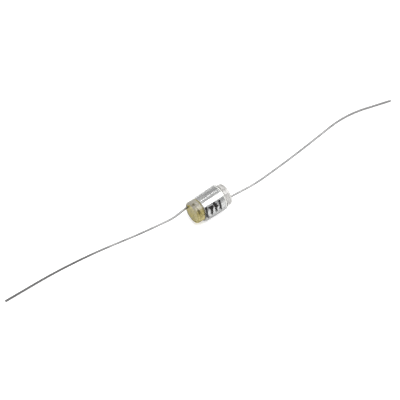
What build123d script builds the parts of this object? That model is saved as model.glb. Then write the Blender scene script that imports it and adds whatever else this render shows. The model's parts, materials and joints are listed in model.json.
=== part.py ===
from build123d import *
from math import cos, radians, sin, tan
import os

# Axial film capacitor: two foils and two films wound together, a lead on each foil,
# a seal in each end and a clear sleeve shrunk over the whole. Millimetres, +Z up.
# +X runs along the body from the yellow end to the clear end. The part lies on its side
# on the plane Z = 0, and X = Y = 0 is the middle of its footprint.

# ---- driving dimensions ------------------------------------------------------------
body_length = 9.5  # over the sleeve's two lips
winding_diameter = 6.3  # over the sleeve where it covers the foils
neck_diameter = 5.3  # over the sleeve at both ends
yellow_neck_length = 1.85
clear_neck_length = 1.5
sleeve_wall = 0.18
lip_opening = 4.2  # the seals' faces show through this
shoulder_radius = 0.38
groove_depth = 0.07  # crease between the yellow neck and the shoulder

wire_diameter = 0.5
paddle_width, paddle_thickness = 0.8, 0.15  # flattened end of each wire
paddle_reach = 4.3  # from the winding's end into the winding

film_thickness = 0.036
foil_thickness = 0.024
layer_clearance = 0.00125
mandrel_radius = 0.42
turns = 16
pocket = 0.23  # room between two layers for a paddle
foil_margin = 0.09  # film past the foil's edge at the end with that foil's lead
far_margin = 0.42  # and at the other end

lead_angle = 15.0  # from +Y towards +Z, of the line on which both leads leave
body_offset = (-0.83, -1.785)  # X and Y of the body's middle

# Bends of the two wires, from the body's middle on its axis: (x, y, z)
yellow_lead_bends = [
    (-5.35, None, None),  # None: still on the line on which it left the face
    (-8.95, 1.20, 0.15),
    (-17.10, 2.42, -0.44),
    (-28.30, 4.72, -1.27),
    (-38.40, 5.98, -2.01),
    (-51.38, 6.47, -2.89),
]
clear_lead_bends = [
    (5.90, None, None),
    (12.20, -1.24, -0.67),
    (24.30, 0.48, -1.33),
    (41.85, 3.80, -2.29),
    (53.04, 1.37, -2.89),
]

# ---- derived -----------------------------------------------------------------------
x_left, x_right = -body_length / 2, body_length / 2
x_ring = x_left + yellow_neck_length
x_collar = x_right - clear_neck_length
r_mid, r_neck = winding_diameter / 2, neck_diameter / 2
r_cavity, r_bore = r_mid - sleeve_wall, r_neck - sleeve_wall
r_lip = lip_opening / 2
r_wire = wire_diameter / 2
axis_x, axis_y = body_offset
axis_z = r_mid
roll_left, roll_right = x_ring + 0.21, x_collar - 0.21
ca, sa = cos(radians(lead_angle)), sin(radians(lead_angle))
profile_plane = Plane(
    origin=(axis_x, axis_y, axis_z), x_dir=(1, 0, 0), z_dir=(0, -1, 0)
)
body_axis = Axis((axis_x, axis_y, axis_z), (1, 0, 0))


def section(x):
    """Plane across the body at x from its middle. Its own x runs towards the yellow end's lead."""
    return Plane(
        origin=(axis_x + x, axis_y, axis_z), x_dir=(0, ca, sa), z_dir=(1, 0, 0)
    )


# ---- winding -----------------------------------------------------------------------
# Every layer is a spiral of half circles. Those above the section's x axis are centred on
# the axis, those below it half a pitch to the side, so that neighbours stay concentric.
# A layer is told by its distance from the centre at each crossing of that x axis: crossings
# 0, 2, 4.. are on the +x side, and 1, 3, 5.. on the -x side.
pitch = 2 * (film_thickness + foil_thickness + 2 * layer_clearance)
offset_a = 0.0
offset_outer = film_thickness + layer_clearance
offset_b = offset_outer + foil_thickness + layer_clearance
offset_inner = offset_b + film_thickness + layer_clearance

# A paddle lies on its foil's outer face at one crossing. The layers over it rise in two
# half turns, which leaves the pocket.
inner_pocket = 11  # crossing of the layers just over the clear end's paddle, on the -x side
outer_pocket = 16  # crossing of the film just over the yellow end's paddle, on the +x side


def rise(crossing, at):
    return pocket * min(max(crossing - at + 2, 0), 2) / 2


def reach(crossing, offset, delayed):
    """Distance of a layer's inner face at a crossing. delayed is for the film and foil under the outer foil's pocket."""
    late = 2 if delayed else 0
    return (
        mandrel_radius
        + offset
        + crossing * pitch / 2
        + rise(crossing, inner_pocket)
        + rise(crossing - late, outer_pocket)
    )


def face_points(first, last, offset, delayed):
    """Crossing points and mid-arc points of one face of a layer, in order."""
    points = []
    for i in range(first, last + 1):
        side = 1 if i % 2 == 0 else -1
        here = reach(i, offset, delayed)
        points.append((side * here - pitch / 4, 0.0))
        if i < last:
            there = reach(i + 1, offset, delayed)
            points.append(
                (side * (here - there) / 2 - pitch / 4, side * (here + there) / 2)
            )
    return points


inner_seat = reach(inner_pocket - 2, offset_inner, False) + foil_thickness
outer_seat = reach(outer_pocket, offset_outer, True) + foil_thickness
clear_lead_at = -(inner_seat + 0.004 + paddle_thickness / 2) - pitch / 4
yellow_lead_at = outer_seat + 0.004 + paddle_thickness / 2 - pitch / 4


def layer_outline(first, last, offset, thickness, delayed):
    inner = face_points(first, last, offset, delayed)
    outer = face_points(first, last, offset + thickness, delayed)
    for path in (inner, outer):
        for i in range(0, len(path) - 2, 2):
            ThreePointArc(path[i], path[i + 1], path[i + 2])
    Line(inner[0], outer[0])
    Line(inner[-1], outer[-1])


roll_length = roll_right - roll_left
foil_length = roll_length - foil_margin - far_margin

with BuildPart() as dielectric_film_a:
    with BuildSketch(section(roll_left)):
        with BuildLine():
            layer_outline(0, 2 * turns, offset_a, film_thickness, True)
        make_face()
    extrude(amount=roll_length)

with BuildPart() as outer_foil:
    with BuildSketch(section(roll_left + foil_margin)):
        with BuildLine():
            layer_outline(2, 2 * turns - 1, offset_outer, foil_thickness, True)
        make_face()
    extrude(amount=foil_length)

with BuildPart() as dielectric_film_b:
    with BuildSketch(section(roll_left)):
        with BuildLine():
            layer_outline(0, 2 * turns, offset_b, film_thickness, False)
        make_face()
    extrude(amount=roll_length)

with BuildPart() as inner_foil:
    with BuildSketch(section(roll_left + far_margin)):
        with BuildLine():
            layer_outline(2, 2 * turns - 3, offset_inner, foil_thickness, False)
        make_face()
    extrude(amount=foil_length)

# ---- leads -------------------------------------------------------------------------
flat_from = 0.62  # length, outside the winding, over which the wire turns flat


def wire_route(at, x_start, bends):
    """The wire's centreline in the part's frame, straight out of the seal, then bend by bend."""
    y, z = at * ca, at * sa
    route = [(axis_x + x_start, axis_y + y, axis_z + z)]
    for bx, by, bz in bends:
        route.append(
            (
                axis_x + bx,
                axis_y + (y if by is None else by),
                axis_z + (z if bz is None else bz),
            )
        )
    return route


def bend_radii(route):
    """Each bend takes 0.45 of its shorter run."""
    radii = []
    for a, b, c in zip(route, route[1:], route[2:]):
        one, two = Vector(b) - Vector(a), Vector(c) - Vector(b)
        turn = radians(one.get_angle(two))
        radii.append(0.45 * min(one.length, two.length) / tan(turn / 2))
    return radii


# Round from here out, and flat from here in, at each end
yellow_round, yellow_flat = roll_left - flat_from, roll_left - 0.12
clear_round, clear_flat = roll_right + flat_from, roll_right + 0.12
yellow_route = wire_route(yellow_lead_at, yellow_round, yellow_lead_bends)
clear_route = wire_route(clear_lead_at, clear_round, clear_lead_bends)

with BuildPart() as yellow_end_lead:
    with BuildLine() as yellow_line:
        FilletPolyline(*yellow_route, radius=bend_radii(yellow_route))
    with BuildSketch(Plane(origin=yellow_line.wire() @ 0, z_dir=yellow_line.wire() % 0)):
        Circle(r_wire)
    sweep(path=yellow_line.wire())
    with BuildSketch(section(yellow_round)):
        with Locations((yellow_lead_at, 0)):
            Circle(r_wire)
    with BuildSketch(section(yellow_flat)):
        with Locations((yellow_lead_at, 0)):
            SlotOverall(paddle_width, paddle_thickness, rotation=90)
    loft()
    with BuildSketch(section(yellow_flat)):
        with Locations((yellow_lead_at, 0)):
            SlotOverall(paddle_width, paddle_thickness, rotation=90)
    extrude(amount=paddle_reach + 0.12)

with BuildPart() as clear_end_lead:
    with BuildLine() as clear_line:
        FilletPolyline(*clear_route, radius=bend_radii(clear_route))
    with BuildSketch(Plane(origin=clear_line.wire() @ 0, z_dir=clear_line.wire() % 0)):
        Circle(r_wire)
    sweep(path=clear_line.wire())
    with BuildSketch(section(clear_round)):
        with Locations((clear_lead_at, 0)):
            Circle(r_wire)
    with BuildSketch(section(clear_flat)):
        with Locations((clear_lead_at, 0)):
            SlotOverall(paddle_width, paddle_thickness, rotation=90)
    loft()
    with BuildSketch(section(clear_flat)):
        with Locations((clear_lead_at, 0)):
            SlotOverall(paddle_width, paddle_thickness, rotation=90)
    extrude(amount=-(paddle_reach + 0.12))

# ---- end seals ---------------------------------------------------------------------
# Each seal fills its neck out to the lip, and its face is slightly dished.
dish = 0.10

with BuildPart() as yellow_end_seal:
    with BuildSketch(profile_plane):
        with BuildLine():
            Polyline(
                (x_left + 0.07 + dish, 0),
                (roll_left - 0.01, 0),
                (roll_left - 0.01, r_bore),
                (x_left + sleeve_wall, r_bore),
                (x_left + sleeve_wall, r_lip),
                (x_left + 0.07, r_lip),
            )
            ThreePointArc(
                (x_left + 0.07, r_lip),
                (x_left + 0.07 + dish * 0.75, r_lip / 2),
                (x_left + 0.07 + dish, 0),
            )
        make_face()
    revolve(axis=body_axis)
    add(yellow_end_lead.part, mode=Mode.SUBTRACT)

with BuildPart() as clear_end_seal:
    with BuildSketch(profile_plane):
        with BuildLine():
            Polyline(
                (x_right - 0.07 - dish, 0),
                (roll_right + 0.01, 0),
                (roll_right + 0.01, r_bore),
                (x_right - sleeve_wall, r_bore),
                (x_right - sleeve_wall, r_lip),
                (x_right - 0.07, r_lip),
            )
            ThreePointArc(
                (x_right - 0.07, r_lip),
                (x_right - 0.07 - dish * 0.75, r_lip / 2),
                (x_right - 0.07 - dish, 0),
            )
        make_face()
    revolve(axis=body_axis)
    add(clear_end_lead.part, mode=Mode.SUBTRACT)

# ---- sleeve ------------------------------------------------------------------------
with BuildPart() as outer_sleeve:
    with BuildSketch(profile_plane) as wall:
        with BuildLine():
            Polyline(
                (x_left, r_lip),
                (x_left, r_neck),
                (x_ring - 0.30, r_neck),
                (x_ring - 0.12, r_neck - groove_depth),
                (x_ring, r_neck - groove_depth),
                (x_ring, r_mid),
                (x_collar, r_mid),
                (x_collar, r_neck),
                (x_right, r_neck),
                (x_right, r_lip),
                (x_right - sleeve_wall, r_lip),
                (x_right - sleeve_wall, r_bore),
                (x_collar - 0.20, r_bore),
                (x_collar - 0.20, r_cavity),
                (x_ring + 0.20, r_cavity),
                (x_ring + 0.20, r_bore),
                (x_left + sleeve_wall, r_bore),
                (x_left + sleeve_wall, r_lip),
                close=True,
            )
        make_face()
        for corner, radius in (
            ((x_left, r_neck), 0.34),
            ((x_right, r_neck), 0.36),
            ((x_ring, r_mid), shoulder_radius),
            ((x_collar, r_mid), shoulder_radius),
            ((x_collar, r_neck), 0.10),
            ((x_ring, r_neck - groove_depth), 0.05),
            ((x_ring - 0.30, r_neck), 0.15),
        ):
            fillet(wall.vertices().sort_by_distance((*corner, 0))[0], radius=radius)
    revolve(axis=body_axis)

# ---- export ------------------------------------------------------------------------
outer_sleeve.part.label = "outer_sleeve"
yellow_end_seal.part.label = "yellow_end_seal"
clear_end_seal.part.label = "clear_end_seal"
dielectric_film_a.part.label = "dielectric_film_a"
outer_foil.part.label = "outer_foil"
dielectric_film_b.part.label = "dielectric_film_b"
inner_foil.part.label = "inner_foil"
yellow_end_lead.part.label = "yellow_end_lead"
clear_end_lead.part.label = "clear_end_lead"

os.makedirs("parts", exist_ok=True)
export_step(outer_sleeve.part, "parts/outer_sleeve.step")
export_step(yellow_end_seal.part, "parts/yellow_end_seal.step")
export_step(clear_end_seal.part, "parts/clear_end_seal.step")
export_step(dielectric_film_a.part, "parts/dielectric_film_a.step")
export_step(outer_foil.part, "parts/outer_foil.step")
export_step(dielectric_film_b.part, "parts/dielectric_film_b.step")
export_step(inner_foil.part, "parts/inner_foil.step")
export_step(yellow_end_lead.part, "parts/yellow_end_lead.step")
export_step(clear_end_lead.part, "parts/clear_end_lead.step")

print("leads leave at", round(yellow_lead_at, 3), round(clear_lead_at, 3))
print("last layer's reach", round(reach(2 * turns, offset_b, False) + film_thickness, 3))
for side, line, route, piece in (
    ("yellow", yellow_line, yellow_route, yellow_end_lead),
    ("clear", clear_line, clear_route, clear_end_lead),
):
    radii = [round(r, 1) for r in bend_radii(route)]
    length = line.wire().length
    print(side, "wire", round(length, 2), "mm, bend radii", radii)
    print("  volume", round(piece.part.volume, 3), "section x length", round(3.14159 * r_wire**2 * length, 3))
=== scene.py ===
import bpy, json, math
from mathutils import Matrix, Vector, noise

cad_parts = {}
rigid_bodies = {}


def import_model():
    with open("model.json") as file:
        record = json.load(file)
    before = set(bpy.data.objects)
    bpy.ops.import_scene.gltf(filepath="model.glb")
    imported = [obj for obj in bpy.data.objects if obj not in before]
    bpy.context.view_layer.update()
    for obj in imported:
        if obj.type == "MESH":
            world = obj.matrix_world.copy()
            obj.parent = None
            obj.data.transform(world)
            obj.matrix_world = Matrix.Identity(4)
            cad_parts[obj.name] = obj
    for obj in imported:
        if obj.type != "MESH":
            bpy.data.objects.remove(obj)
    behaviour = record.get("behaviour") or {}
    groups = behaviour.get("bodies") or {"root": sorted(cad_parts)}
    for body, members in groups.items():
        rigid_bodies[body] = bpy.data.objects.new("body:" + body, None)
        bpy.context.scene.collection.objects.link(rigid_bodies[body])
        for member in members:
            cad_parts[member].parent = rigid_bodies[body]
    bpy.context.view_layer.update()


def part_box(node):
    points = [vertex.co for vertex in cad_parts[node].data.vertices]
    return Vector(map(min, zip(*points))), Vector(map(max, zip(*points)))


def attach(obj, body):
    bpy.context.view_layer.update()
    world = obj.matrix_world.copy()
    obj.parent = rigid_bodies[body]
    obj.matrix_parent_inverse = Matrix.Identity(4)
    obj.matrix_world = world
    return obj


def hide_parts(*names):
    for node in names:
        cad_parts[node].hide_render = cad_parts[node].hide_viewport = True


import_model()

MM = 0.001
# ------------------------------------------------------------------ places, from the CAD
slo, shi = [Vector(v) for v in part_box("outer_sleeve")]
centre = (slo + shi) / 2
CX, CY, CZ = centre
half = (shi.x - slo.x) / 2 / MM  # 4.75
R_MID = (shi.z - slo.z) / 2 / MM  # 3.15
R_NECK, WALL, R_LIP = 2.65, 0.18, 2.1
X_RING, X_COLLAR = -2.9, 3.25


def place(x, r, t):
    """Point at x along the body, r from its axis, t round it: 0 is up and a quarter turn is +Y. Millimetres and radians."""
    return Vector(
        (CX + x * MM, CY + r * math.sin(t) * MM, CZ + r * math.cos(t) * MM)
    )


def lay(x, r, t):
    """place(), with the winding as it really sits: slimmer and pushed down to the near side toward the yellow end."""
    w = smooth(X_RING - 0.12, X_RING + 0.22, x) * (1 - smooth(X_COLLAR - 0.22, X_COLLAR + 0.06, x))
    size = 1 - w * (0.050 - 0.0070 * (x + 2.4))
    off = w * (0.185 - 0.050 * (x + 2.4))
    return Vector(
        (
            CX + x * MM,
            CY + (r * size * math.sin(t) - off * 0.834) * MM,
            CZ + (r * size * math.cos(t) - off * 0.552) * MM,
        )
    )


def smooth(a, b, v):
    k = min(max((v - a) / (b - a), 0.0), 1.0)
    return k * k * (3 - 2 * k)


def n3(x, y, z):
    return noise.noise(Vector((x, y, z)))


# ------------------------------------------------------------------ camera
view = Vector((0.38239, 0.51022, -0.77036))
right = Vector((0.80021, -0.59972, 0.0))
up = Vector((0.462, 0.61644, 0.63761))
cam_data = bpy.data.cameras.new("camera")
cam = bpy.data.objects.new("camera", cam_data)
bpy.context.scene.collection.objects.link(cam)
cam_data.sensor_width = 36
cam_data.lens = 441.96
cam_data.clip_start = 0.05
cam_data.clip_end = 20
spot = centre - (right * 1.994 - up * 0.762 + view * 1100) * MM
cam.matrix_world = Matrix(
    (
        (right.x, up.x, -view.x, spot.x),
        (right.y, up.y, -view.y, spot.y),
        (right.z, up.z, -view.z, spot.z),
        (0, 0, 0, 1),
    )
)
bpy.context.scene.camera = cam


# ------------------------------------------------------------------ node helpers
class Mat:
    def __init__(self, name):
        self.mat = bpy.data.materials.new(name)
        self.mat.use_nodes = True
        self.t = self.mat.node_tree
        self.t.nodes.clear()
        self.out = self.t.nodes.new("ShaderNodeOutputMaterial")

    def new(self, kind, **props):
        n = self.t.nodes.new(kind)
        for k, v in props.items():
            setattr(n, k, v)
        return n

    def link(self, a, b):
        self.t.links.new(a, b)

    def put(self, socket, value):
        if isinstance(value, bpy.types.NodeSocket):
            self.link(value, socket)
        else:
            socket.default_value = value

    def math(self, op, a, b=0.0, c=None, clamp=False):
        n = self.new("ShaderNodeMath", operation=op, use_clamp=clamp)
        self.put(n.inputs[0], a)
        self.put(n.inputs[1], b)
        if c is not None:
            self.put(n.inputs[2], c)
        return n.outputs[0]

    def ramp(self, a, lo, hi, out_lo=0.0, out_hi=1.0):
        n = self.new("ShaderNodeMapRange", interpolation_type="SMOOTHSTEP")
        self.put(n.inputs["Value"], a)
        n.inputs["From Min"].default_value = lo
        n.inputs["From Max"].default_value = hi
        n.inputs["To Min"].default_value = out_lo
        n.inputs["To Max"].default_value = out_hi
        return n.outputs["Result"]

    def body(self):
        """Object coordinates in millimetres from the body's middle: the vector, x, the turn from up, and the distance from the axis."""
        tc = self.new("ShaderNodeTexCoord")
        sub = self.new("ShaderNodeVectorMath", operation="SUBTRACT")
        self.link(tc.outputs["Object"], sub.inputs[0])
        sub.inputs[1].default_value = tuple(centre)
        sc = self.new("ShaderNodeVectorMath", operation="SCALE")
        self.link(sub.outputs[0], sc.inputs[0])
        sc.inputs["Scale"].default_value = 1000.0
        sep = self.new("ShaderNodeSeparateXYZ")
        self.link(sc.outputs[0], sep.inputs[0])
        x, y, z = sep.outputs
        turn = self.math("ARCTAN2", y, z)
        dist = self.math(
            "SQRT", self.math("ADD", self.math("MULTIPLY", y, y), self.math("MULTIPLY", z, z))
        )
        return sc.outputs[0], x, turn, dist

    def noise(self, vec, stretch, detail=3.0, rough=0.55, distort=0.0):
        mul = self.new("ShaderNodeVectorMath", operation="MULTIPLY")
        self.link(vec, mul.inputs[0])
        mul.inputs[1].default_value = stretch
        n = self.new("ShaderNodeTexNoise")
        self.link(mul.outputs[0], n.inputs["Vector"])
        n.inputs["Scale"].default_value = 1.0
        n.inputs["Detail"].default_value = detail
        n.inputs["Roughness"].default_value = rough
        n.inputs["Distortion"].default_value = distort
        return n.outputs["Fac"]

    def mix(self, f, a, b):
        n = self.new("ShaderNodeMix", data_type="RGBA")
        self.put(n.inputs[0], f)
        self.put(n.inputs[6], a)
        self.put(n.inputs[7], b)
        return n.outputs[2]

    def bump(self, height, strength, distance):
        n = self.new("ShaderNodeBump")
        self.link(height, n.inputs["Height"])
        n.inputs["Strength"].default_value = strength
        n.inputs["Distance"].default_value = distance
        return n.outputs[0]

    def principled(self, **inputs):
        n = self.new("ShaderNodeBsdfPrincipled")
        for k, v in inputs.items():
            self.put(n.inputs[k.replace("_", " ")], v)
        return n


def rgb(r, g, b):
    """A colour given as it is seen, 0 to 255, to linear."""
    def lin(v):
        v /= 255
        return v / 12.92 if v <= 0.04045 else ((v + 0.055) / 1.055) ** 2.4
    return (lin(r), lin(g), lin(b), 1.0)


# ------------------------------------------------------------------ mesh helpers
def rounded(points, steps=7):
    """A polyline of (x, r, fillet) with its corners turned into arcs."""
    out = []
    n = len(points)
    for i, (x, y, rad) in enumerate(points):
        if rad <= 0 or i in (0, n - 1):
            out.append((x, y))
            continue
        p = Vector((x, y))
        a = (Vector(points[i - 1][:2]) - p).normalized()
        b = (Vector(points[i + 1][:2]) - p).normalized()
        ang = a.angle(b)
        t = rad / math.tan(ang / 2)
        c = p + (a + b).normalized() * (rad / math.sin(ang / 2))
        s, e = p + a * t, p + b * t
        a0 = math.atan2(s.y - c.y, s.x - c.x)
        a1 = math.atan2(e.y - c.y, e.x - c.x)
        d = (a1 - a0 + math.pi) % (2 * math.pi) - math.pi
        for k in range(steps + 1):
            w = a0 + d * k / steps
            out.append((c.x + rad * math.cos(w), c.y + rad * math.sin(w)))
    return out


def dense(path, step):
    out = [path[0]]
    for a, b in zip(path, path[1:]):
        gap = math.dist(a, b)
        m = max(1, int(math.ceil(gap / step)))
        for k in range(1, m + 1):
            out.append((a[0] + (b[0] - a[0]) * k / m, a[1] + (b[1] - a[1]) * k / m))
    return out


def ring_mesh(name, loop, around, shape):
    """A closed solid of revolution. loop is its section as (x, r), and shape moves each point."""
    verts, faces = [], []
    n = len(loop)
    for j in range(around):
        t = 2 * math.pi * j / around
        for i, (x, r) in enumerate(loop):
            verts.append(lay(*shape(i, x, r, t)))
    for j in range(around):
        k = (j + 1) % around
        for i in range(n):
            m = (i + 1) % n
            faces.append((j * n + i, j * n + m, k * n + m, k * n + i))
    me = bpy.data.meshes.new(name)
    me.from_pydata(verts, [], faces)
    me.validate()
    me.update()
    ob = bpy.data.objects.new(name, me)
    bpy.context.scene.collection.objects.link(ob)
    import bmesh
    bm = bmesh.new()
    bm.from_mesh(me)
    bmesh.ops.recalc_face_normals(bm, faces=bm.faces)
    bm.to_mesh(me)
    bm.free()
    for p in me.polygons:
        p.use_smooth = True
    return ob


# ------------------------------------------------------------------ sleeve
def skin_swell(x, t):
    """How far the shrunk skin stands proud of a true turned shape, in mm."""
    c, s = math.cos(t), math.sin(t)
    # long folds that run with the axis
    v = 0.014 * n3(x * 0.16, c * 4.5, s * 4.5)
    v += 0.005 * n3(x * 0.3 + 9, c * 11, s * 11)
    # faint rings left where the film tightened
    v += 0.006 * n3(x * 3.1, c * 0.8, s * 0.8 + 5)
    # puckers at the shoulders and down on to the necks
    for at, side, k in ((X_RING, -1, 19), (X_COLLAR, 1, 17)):
        near = math.exp(-(((x - at) / 0.42) ** 2))
        v += near * (
            0.020 * math.sin(k * t + 2.5 * n3(c * 2, s * 2, at))
            + 0.022 * n3(c * 6 + at, s * 6, x * 1.5)
        )
    # the ends aren't quite round
    end = smooth(3.6, 4.75, abs(x))
    v += end * 0.035 * n3(c * 1.6 + x, s * 1.6, 3.0)
    return v


outer = rounded(
    [
        (-half, R_LIP, 0),
        (-half, R_NECK - 0.03, 0.34),
        (-4.30, R_NECK - 0.01, 0.06),
        (-4.25, R_NECK - 0.09, 0.03),
        (-4.18, R_NECK, 0.08),
        (X_RING - 0.26, R_NECK, 0.2),
        (X_RING - 0.10, R_NECK - 0.07, 0.06),
        (X_RING + 0.0, R_NECK - 0.05, 0.05),
        (X_RING + 0.04, R_MID, 0.36),
        (X_COLLAR - 0.03, R_MID, 0.42),
        (X_COLLAR + 0.03, R_NECK, 0.08),
        (half, R_NECK, 0.36),
        (half, R_LIP, 0),
    ]
)
inner = rounded(
    [
        (half - WALL, R_LIP + 0.02, 0),
        (half - WALL, R_NECK - WALL, 0.1),
        (X_COLLAR - 0.19, R_NECK - WALL, 0.05),
        (X_COLLAR - 0.19, R_MID - WALL, 0.08),
        (X_RING + 0.20, R_MID - WALL, 0.08),
        (X_RING + 0.20, R_NECK - WALL, 0.05),
        (-half + WALL, R_NECK - WALL, 0.1),
        (-half + WALL, R_LIP + 0.02, 0),
    ]
)
outer, inner = dense(outer, 0.075), dense(inner, 0.3)
loop = outer + inner
n_outer = len(outer)


def sleeve_shape(i, x, r, t):
    if i < n_outer:
        lip = smooth(half - 0.32, half, abs(x))
        d = skin_swell(x, t)
        if r < R_NECK - 0.12:  # the lip's own edge wanders
            r += 0.05 * n3(math.cos(t) * 2.2, math.sin(t) * 2.2, x)
            return x * (1 - 0.0015 * (1 + n3(math.cos(t) * 3, math.sin(t) * 3, 1))), r, t
        return x, r + d * (1 - 0.5 * lip) - 0.012, t
    return x, r, t


sleeve = ring_mesh("shrunk_sleeve", loop, 256, sleeve_shape)

m = Mat("clear_shrunk_film")
vec, x, turn, dist = m.body()
folds = m.noise(vec, (0.12, 2.0, 2.0), 1.0, 0.45)
fine = m.noise(vec, (0.20, 3.4, 3.4), 1.0, 0.4)
rings = m.noise(vec, (5.0, 0.7, 0.7), 2.0, 0.5)
height = m.math("ADD", m.math("MULTIPLY", folds, 0.6), m.math("MULTIPLY", fine, 0.25))
height = m.math("ADD", height, m.math("MULTIPLY", rings, 0.10))
bump = m.bump(height, 0.22, 0.00005)
yellow_zone = m.ramp(x, X_RING - 0.10, X_RING - 0.02, 1.0, 0.0)
clear_zone = m.ramp(x, X_COLLAR - 0.30, X_COLLAR + 0.05)
# colour of what the film itself scatters
blotch = m.noise(vec, (0.9, 0.9, 0.9), 3.0, 0.55, 0.6)
khaki = m.mix(m.ramp(blotch, 0.40, 0.62), rgb(140, 127, 58), rgb(182, 169, 106))
low = m.ramp(turn, -1.05, -0.15, 1.0, 0.0)  # 1 on the near side, 0 on top
# painted reflection: the film is greyer on top and khaki on the near side
khaki = m.mix(low, rgb(158, 154, 142), khaki)
# two dark pools beside the face's rim
def pool(x0, t0, wx, wt):
    dx = m.math("DIVIDE", m.math("SUBTRACT", x, x0), wx)
    dt = m.math("DIVIDE", m.math("SUBTRACT", turn, t0), wt)
    d = m.math("ADD", m.math("MULTIPLY", dx, dx), m.math("MULTIPLY", dt, dt))
    return m.ramp(m.math("ADD", d, m.math("MULTIPLY", fine, 0.8)), 0.5, 1.9, 1.0, 0.0)
dark = m.math("MAXIMUM", pool(-4.12, -0.76, 0.32, 0.28), m.math("MULTIPLY", pool(-4.25, 0.02, 0.42, 0.16), 0.8))
khaki = m.mix(dark, khaki, rgb(82, 72, 30))
# shadow in the groove where the skin drops from the winding on to the neck
gap = m.math("ABSOLUTE", m.math("SUBTRACT", x, X_RING - 0.05))
groove = m.math("MULTIPLY", m.ramp(gap, 0.03, 0.13, 1.0, 0.0), m.ramp(blotch, 0.30, 0.5, 0.35, 0.85))
groove = m.math("MULTIPLY", groove, m.ramp(turn, -0.9, 0.3, 1.0, 0.10))
# painted shade in the bead's groove on the near side
bead_groove_shade = m.math("MULTIPLY", m.ramp(m.math("ABSOLUTE", m.math("SUBTRACT", x, -4.27)), 0.02, 0.10, 1.0, 0.0), low)
grey = m.mix(m.ramp(rings, 0.38, 0.62), rgb(166, 164, 162), rgb(214, 212, 209))
film_colour = m.mix(yellow_zone, grey, khaki)
film_colour = m.mix(m.math("MULTIPLY", bead_groove_shade, 0.6), film_colour, rgb(92, 84, 44))
film_colour = m.mix(groove, film_colour, rgb(72, 70, 67))
haze = m.math("ADD", m.math("MULTIPLY", yellow_zone, 0.62), m.math("MULTIPLY", clear_zone, 0.42))
haze = m.math("ADD", haze, m.math("MULTIPLY", m.ramp(folds, 0.5, 0.75), 0.10), clamp=True)
haze = m.math("MAXIMUM", haze, m.math("MULTIPLY", groove, 0.75))
haze = m.math("MAXIMUM", haze, m.math("MULTIPLY", m.math("MULTIPLY", dark, yellow_zone), 0.9))
# seen edge-on the wall is deeper, and takes more of the light; the strong darkening toward the silhouette is partly
# real absorption and partly painted shade
edge_on = m.new("ShaderNodeLayerWeight")
edge_on.inputs["Blend"].default_value = 0.5
clear = m.new("ShaderNodeBsdfTransparent")
m.put(clear.inputs["Color"], m.mix(m.math("POWER", edge_on.outputs["Facing"], 4.0), (0.975, 0.978, 0.975, 1), (0.28, 0.28, 0.28, 1)))
milk = m.principled(Base_Color=film_colour, Roughness=0.42, Normal=bump)
milk.inputs["Specular IOR Level"].default_value = 0.0
gloss = m.new("ShaderNodeBsdfGlossy")
gloss.inputs["Color"].default_value = (1, 1, 1, 1)
m.put(gloss.inputs["Roughness"], m.ramp(fine, 0.3, 0.7, 0.05, 0.13))
m.put(gloss.inputs["Normal"], bump)
# the share that reflects, alike from both sides of the wall: a thin film has no inner mirror
facing = m.new("ShaderNodeLayerWeight")
facing.inputs["Blend"].default_value = 0.5
m.put(facing.inputs["Normal"], bump)
share = m.math("MULTIPLY_ADD", m.math("POWER", facing.outputs["Facing"], 5.0), 0.12, 0.045)
a = m.new("ShaderNodeMixShader")
m.put(a.inputs[0], haze)
m.link(clear.outputs[0], a.inputs[1])
m.link(milk.outputs[0], a.inputs[2])
b = m.new("ShaderNodeMixShader")
m.put(b.inputs[0], share)
m.link(a.outputs[0], b.inputs[1])
m.link(gloss.outputs[0], b.inputs[2])
m.link(b.outputs[0], m.out.inputs["Surface"])
sleeve.data.materials.append(m.mat)
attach(sleeve, "root")
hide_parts("outer_sleeve")

# ------------------------------------------------------------------ foil under the film
FOIL_L, FOIL_R = -2.62, 2.66


def foil_shape(i, x, r, t):
    if r > 2.85:
        c, s = math.cos(t), math.sin(t)
        r += 0.010 * n3(x * 0.10 + 4, c * 4, s * 4)
        r += 0.008 * n3(x * 0.6 + 2, c * 1.8, s * 1.8)
        edge = smooth(0.5, 0.0, min(x - FOIL_L, FOIL_R - x))
        r -= 0.03 * edge * (0.5 + n3(c * 4, s * 4, x))
        x += 0.03 * n3(c * 3, s * 3, 7 + (1 if x > 0 else 0)) * smooth(0.8, 0.0, min(x - FOIL_L, FOIL_R - x))
    return x, r, t


foil_loop = dense(
    rounded([(FOIL_L, 2.70, 0), (FOIL_L, 2.915, 0.03), (FOIL_R, 2.915, 0.03), (FOIL_R, 2.70, 0)], 3),
    0.07,
) + [(FOIL_R - 1.0, 2.70), (0, 2.70), (FOIL_L + 1.0, 2.70)]
foil = ring_mesh("crinkled_outer_foil", foil_loop, 288, foil_shape)

m = Mat("wound_foil")
vec, x, turn, dist = m.body()
long_folds = m.noise(vec, (0.10, 2.2, 2.2), 1.0, 0.45, 0.1)
dents = m.noise(vec, (0.35, 1.0, 1.0), 1.0, 0.4, 0.3)
grain = m.noise(vec, (1.6, 22.0, 22.0), 2.0, 0.5)
height = m.math("ADD", m.math("MULTIPLY", long_folds, 0.6), m.math("MULTIPLY", dents, 0.4))
height = m.math("ADD", height, m.math("MULTIPLY", grain, 0.008))
bump = m.bump(height, 0.22, 0.00007)
tone = m.mix(m.ramp(long_folds, 0.3, 0.7), rgb(152, 152, 153), rgb(182, 182, 182))
metal = m.principled(Base_Color=tone, Metallic=1.0, Normal=bump)
m.put(metal.inputs["Roughness"], m.ramp(dents, 0.3, 0.7, 0.20, 0.30))
m.link(metal.outputs[0], m.out.inputs["Surface"])
foil.data.materials.append(m.mat)
foil_mat = m.mat
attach(foil, "root")
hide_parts("outer_foil")
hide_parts("inner_foil")

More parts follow.
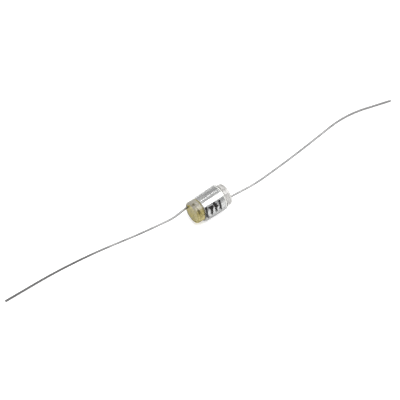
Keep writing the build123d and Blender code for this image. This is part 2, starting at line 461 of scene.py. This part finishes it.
# ------------------------------------------------------------------ film that stands out past the foil's edges
def wrap_shape(i, x, r, t):
    c, s = math.cos(t), math.sin(t)
    if r > 2.8:
        r += 0.010 * n3(x * 0.4 + 1, c * 6, s * 6)
        x += 0.012 * n3(c * 5, s * 5, x) * (1 if abs(x) > 2.68 else 0)
    return x, r, t


wrap_loop = (
    dense([(-2.69, 2.20), (-2.69, 2.93), (-2.66, 2.94), (-2.645, 2.93), (-2.645, 2.66)], 0.05)
    + dense([(-1.0, 2.64), (1.0, 2.64)], 0.5)
    + dense([(2.69, 2.66), (2.69, 2.93), (2.72, 2.945), (2.93, 2.94), (2.98, 2.91), (2.98, 2.20)], 0.05)
    + dense([(2.6, 2.20), (2.4, 2.56), (-2.3, 2.56), (-2.5, 2.20)], 0.5)
)
wrap = ring_mesh("film_margins", wrap_loop, 224, wrap_shape)
m = Mat("wound_film")
vec, x, turn, dist = m.body()
streak = m.noise(vec, (0.5, 12.0, 12.0), 3.0, 0.6)
layers = m.noise(vec, (6.0, 1.0, 1.0), 2.0, 0.5)
tone = m.mix(streak, rgb(188, 187, 184), rgb(222, 221, 218))
tone = m.mix(m.ramp(layers, 0.45, 0.7), tone, rgb(206, 205, 202))
p = m.principled(Base_Color=tone, Roughness=m.ramp(streak, 0.3, 0.7, 0.22, 0.4), Normal=m.bump(streak, 0.5, 0.00003))
m.link(p.outputs[0], m.out.inputs["Surface"])
wrap.data.materials.append(m.mat)
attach(wrap, "root")
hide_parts("dielectric_film_b")
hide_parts("dielectric_film_a")

# ------------------------------------------------------------------ print: four plain numerals
# Strokes in mm: across is along the body, down runs from the top of a numeral to its foot.
NUMERALS = [
    # 1
    [([(-2.52, 0.32), (-2.24, 0.02)], 0.32), ([(-2.25, 0.0), (-2.45, 0.68), (-2.62, 1.62), (-2.70, 2.74)], 0.44), ([(-2.74, 2.74), (-2.16, 2.82)], 0.38)],
    # 7
    [([(-1.80, 0.56), (-1.14, 0.74), (-0.62, 0.66)], 0.38), ([(-0.66, 0.66), (-1.12, 1.34), (-1.40, 2.76)], 0.42), ([(-1.42, 1.08), (-0.98, 1.22)], 0.54)],
    # 4
    [([(-0.08, 0.0), (-0.18, 0.74), (0.06, 1.30), (0.68, 1.26)], 0.38), ([(0.30, 0.48), (0.08, 1.40), (-0.10, 2.76)], 0.38)],
    # 1
    [([(1.02, 0.54), (1.34, 0.28)], 0.28), ([(1.36, 0.26), (1.21, 1.34), (1.15, 2.66)], 0.34), ([(0.88, 2.70), (1.48, 2.74)], 0.28)],
]
FOOT_T = -1.44  # where the feet stand, as a turn from up (negative is the near side)
TALL = 2.5


def stroke(points, width, x0, verts, faces):
    path = dense(points, 0.06)
    n = len(path)
    across = 5
    base = len(verts)
    for layer, proud in ((0, 0.004), (1, 0.011)):
        for i, (px, py) in enumerate(path):
            a = Vector(path[max(i - 1, 0)])
            b = Vector(path[min(i + 1, n - 1)])
            d = (b - a).normalized()
            side = Vector((-d.y, d.x))
            end = min(i, n - 1 - i) / max(n - 1, 1) * (n - 1) * 0.06
            w = width / 2 * min(1.0, math.sqrt(max(0.12, min(1.0, end / (width * 0.4) + 0.12))))
            w *= 1 + 0.22 * n3(px * 4 + x0 * 3, py * 4, 2)
            for j in range(across + 1):
                k = (j / across * 2 - 1) * w
                q = Vector((px, py)) + side * k
                gx = x0 + q.x
                t = FOOT_T + (TALL - q.y) / R_MID
                edge = 0.75 if (j in (0, across)) and layer == 1 else 1.0
                xx = gx
                # the numeral nearest the shoulder follows it down
                drop = 0.0
                u = (X_RING + 0.04 + 0.36) - xx
                if u > 0:
                    drop = 0.36 - math.sqrt(max(0.36**2 - u * u, 0.0001))
                r = R_MID - 0.012 + skin_swell(xx, t) - drop + proud * edge
                verts.append(lay(xx, r, t))
    row = across + 1
    top = base + n * row
    for i in range(n - 1):
        for j in range(across):
            a0 = base + i * row + j
            faces.append((a0, a0 + row, a0 + row + 1, a0 + 1))
            b0 = top + i * row + j
            faces.append((b0, b0 + 1, b0 + row + 1, b0 + row))
        for j in (0, across):
            a0, b0 = base + i * row + j, top + i * row + j
            faces.append((a0, b0, b0 + row, a0 + row))
    for i in (0, n - 1):
        for j in range(across):
            a0, b0 = base + i * row + j, top + i * row + j
            faces.append((a0, a0 + 1, b0 + 1, b0))


ink_mat = Mat("printing_ink")
m = ink_mat
vec, x, turn, dist = m.body()
patch = m.noise(vec, (4.0, 4.0, 4.0), 3.0, 0.6)
speck = m.noise(vec, (22.0, 22.0, 22.0), 2.0, 0.6)
ink = m.principled(
    Base_Color=m.mix(m.ramp(patch, 0.35, 0.7), rgb(14, 13, 13), rgb(40, 37, 35)),
    Roughness=m.ramp(speck, 0.3, 0.7, 0.45, 0.65),
    Normal=m.bump(speck, 0.4, 0.00001),
)
ink.inputs["Specular IOR Level"].default_value = 0.15
m.link(ink.outputs[0], m.out.inputs["Surface"])
for k, strokes in enumerate(NUMERALS):
    verts, faces = [], []
    for points, width in strokes:
        stroke(points, width, 0.0, verts, faces)
    me = bpy.data.meshes.new(f"numeral_{k + 1}")
    me.from_pydata(verts, [], faces)
    me.validate()
    import bmesh
    bm = bmesh.new()
    bm.from_mesh(me)
    bmesh.ops.recalc_face_normals(bm, faces=bm.faces)
    bm.to_mesh(me)
    bm.free()
    ob = bpy.data.objects.new(f"numeral_{k + 1}", me)
    bpy.context.scene.collection.objects.link(ob)
    me.materials.append(ink_mat.mat)
    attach(ob, "root")

# ------------------------------------------------------------------ carried-over CAD nodes
def dress(node, mat):
    for ob in bpy.data.objects:
        if ob.type == "MESH" and ob.name.split(".")[0] == node:
            ob.data.materials.clear()
            ob.data.materials.append(mat)
            return ob
    raise SystemExit(f"no object for {node}")


# yellow seal
m = Mat("yellow_polystyrene")
vec, x, turn, dist = m.body()
cloud = m.noise(vec, (0.75, 0.75, 0.75), 4.0, 0.55, 0.8)
swirl = m.noise(vec, (2.4, 2.4, 2.4), 3.0, 0.6, 1.5)
col = m.mix(m.ramp(cloud, 0.36, 0.64), rgb(118, 106, 30), rgb(152, 139, 52))
col = m.mix(m.ramp(swirl, 0.52, 0.78), col, rgb(94, 80, 16))
rim = m.ramp(dist, 1.75, 2.1)
col = m.mix(m.math("MULTIPLY", rim, 0.6), col, rgb(176, 165, 96))
height = m.math("ADD", m.math("MULTIPLY", cloud, 0.6), m.math("MULTIPLY", swirl, 0.3))
p = m.principled(Base_Color=col, Roughness=m.ramp(swirl, 0.3, 0.7, 0.22, 0.38), Normal=m.bump(height, 0.5, 0.00012))
p.inputs["Subsurface Weight"].default_value = 0.35
p.inputs["Subsurface Radius"].default_value = (1.0, 0.9, 0.35)
p.inputs["Subsurface Scale"].default_value = 0.0006
p.inputs["Coat Weight"].default_value = 0.15
p.inputs["Coat Roughness"].default_value = 0.12
m.link(p.outputs[0], m.out.inputs["Surface"])
dress("yellow_end_seal", m.mat)

# clear seal
m = Mat("clear_polystyrene")
vec, x, turn, dist = m.body()
cloud = m.noise(vec, (0.9, 0.9, 0.9), 4.0, 0.55, 0.6)
bands = m.noise(vec, (4.5, 0.6, 0.6), 2.0, 0.5)
col = m.mix(m.ramp(cloud, 0.35, 0.65), rgb(156, 154, 151), rgb(192, 190, 187))
col = m.mix(m.ramp(bands, 0.45, 0.7), col, rgb(140, 138, 135))
p = m.principled(Base_Color=col, Roughness=m.ramp(cloud, 0.3, 0.7, 0.2, 0.34), Normal=m.bump(cloud, 0.5, 0.0001))
p.inputs["Subsurface Weight"].default_value = 0.35
p.inputs["Subsurface Radius"].default_value = (1.0, 1.0, 1.0)
p.inputs["Subsurface Scale"].default_value = 0.0006
p.inputs["Coat Weight"].default_value = 0.35
p.inputs["Coat Roughness"].default_value = 0.12
m.link(p.outputs[0], m.out.inputs["Surface"])
dress("clear_end_seal", m.mat)

# leads
m = Mat("tinned_wire")
vec, x, turn, dist = m.body()
ax = m.math("ABSOLUTE", x)
drawn = m.noise(vec, (0.9, 9.0, 9.0), 3.0, 0.6)
dull = m.noise(vec, (0.22, 1.2, 1.2), 3.0, 0.6)
pits = m.noise(vec, (7.0, 16.0, 16.0), 2.0, 0.6)
col = m.mix(m.ramp(dull, 0.35, 0.65), rgb(112, 112, 112), rgb(146, 145, 145))
# the left lead darker and rougher toward its far end
left_far_end_mask = m.ramp(x, -33.0, -22.0, 1.0, 0.0)
# painted reflection: the leads paler within a few millimetres of the body
col = m.mix(m.ramp(ax, 5.0, 16.0, 0.12, 0.0), col, rgb(188, 187, 185))
col = m.mix(m.math("MULTIPLY", left_far_end_mask, 0.9), col, rgb(84, 83, 83))
far = m.ramp(x, 30.0, 44.0)
col = m.mix(m.math("MULTIPLY", far, 0.75), col, rgb(104, 103, 103))
height = m.math("ADD", m.math("MULTIPLY", drawn, 0.5), m.math("MULTIPLY", pits, 0.4))
p = m.principled(Base_Color=col, Metallic=0.92, Normal=m.bump(height, 0.5, 0.00003))
m.put(p.inputs["Roughness"], m.math("ADD", m.ramp(dull, 0.3, 0.7, 0.26, 0.42), m.math("MULTIPLY", left_far_end_mask, 0.1)))
m.link(p.outputs[0], m.out.inputs["Surface"])
dress("yellow_end_lead", m.mat)
dress("clear_end_lead", m.mat)

# ------------------------------------------------------------------ floor and light
bpy.ops.mesh.primitive_plane_add(size=3.0, location=(0, 0, -0.00002))
floor = bpy.context.object
floor.name = "floor"
m = Mat("pale_floor")
tc = m.new("ShaderNodeTexCoord")
cloud = m.new("ShaderNodeTexNoise")
cloud.inputs["Scale"].default_value = 14.0
m.link(tc.outputs["Object"], cloud.inputs["Vector"])
p = m.principled(Base_Color=m.mix(cloud.outputs["Fac"], (0.86, 0.86, 0.86, 1), (0.9, 0.9, 0.9, 1)))
p.inputs["Roughness"].default_value = 0.9
p.inputs["Specular IOR Level"].default_value = 0.1
p.inputs["Emission Color"].default_value = (1, 1, 1, 1)
p.inputs["Emission Strength"].default_value = 0.36
m.link(p.outputs[0], m.out.inputs["Surface"])
floor.data.materials.append(m.mat)

world = bpy.data.worlds.new("studio")
bpy.context.scene.world = world
world.use_nodes = True
world.node_tree.nodes["Background"].inputs["Color"].default_value = (1, 1, 1, 1)
world.node_tree.nodes["Background"].inputs["Strength"].default_value = 0.90


def softbox(name, direction, distance, wide, tall, power, along=(1, 0, 0)):
    data = bpy.data.lights.new(name, "AREA")
    data.shape = "RECTANGLE"
    data.size, data.size_y = wide, tall
    data.energy = power
    ob = bpy.data.objects.new(name, data)
    bpy.context.scene.collection.objects.link(ob)
    d = Vector(direction).normalized()
    z = d
    x = (Vector(along) - z * Vector(along).dot(z)).normalized()
    y = z.cross(x)
    p = centre + d * distance
    ob.matrix_world = Matrix(
        ((x.x, y.x, z.x, p.x), (x.y, y.y, z.y, p.y), (x.z, y.z, z.z, p.z), (0, 0, 0, 1))
    )
    return ob


softbox("key", (0.38, -0.27, 0.83), 0.32, 0.40, 0.20, 1.05)
softbox("back_strip", (0.38, 0.49, 0.78), 0.32, 0.16, 0.018, 0.05)

scene = bpy.context.scene
scene.view_settings.view_transform = "Standard"
scene.view_settings.look = "None"
scene.view_settings.exposure = 0.0
